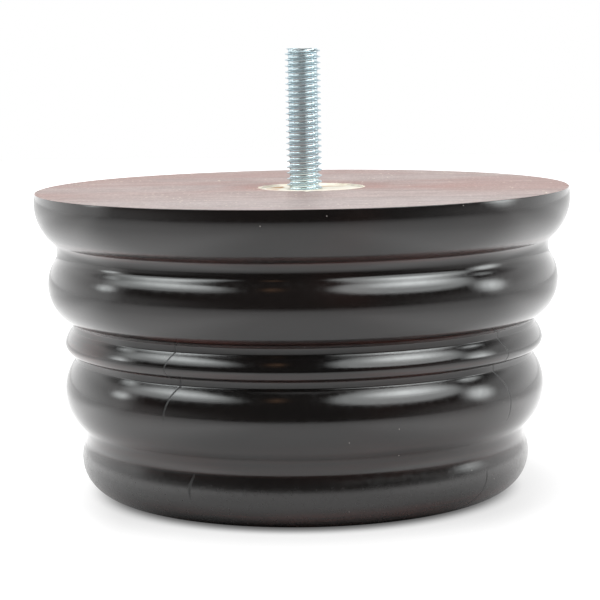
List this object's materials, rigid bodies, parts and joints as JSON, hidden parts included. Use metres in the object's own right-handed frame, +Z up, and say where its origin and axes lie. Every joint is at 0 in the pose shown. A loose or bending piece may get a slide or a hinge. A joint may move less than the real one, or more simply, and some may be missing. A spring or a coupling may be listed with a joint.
{
  "type": "turned furniture foot",
  "caption": "Round turned wooden furniture foot with a beaded profile, dark lacquered sides and a threaded hanger bolt standing from its wide top face.",
  "frame": {"origin": "centre of the base, on the lathe axis, where the foot stands on the floor", "axes": "+Z up along the lathe axis towards the bolt; +Y away from the viewer; +X to the viewer's right"},
  "size_m": [0.1434, 0.1434, 0.1187],
  "materials": {
    "lacquered_wood": "dark stain under gloss lacquer, top face stained and unlacquered",
    "zinc_steel": "bright zinc plate"
  },
  "bodies": {
    "root": {"foot_body": "lacquered_wood", "hanger_bolt": "zinc_steel"}
  },
  "joints": []
}
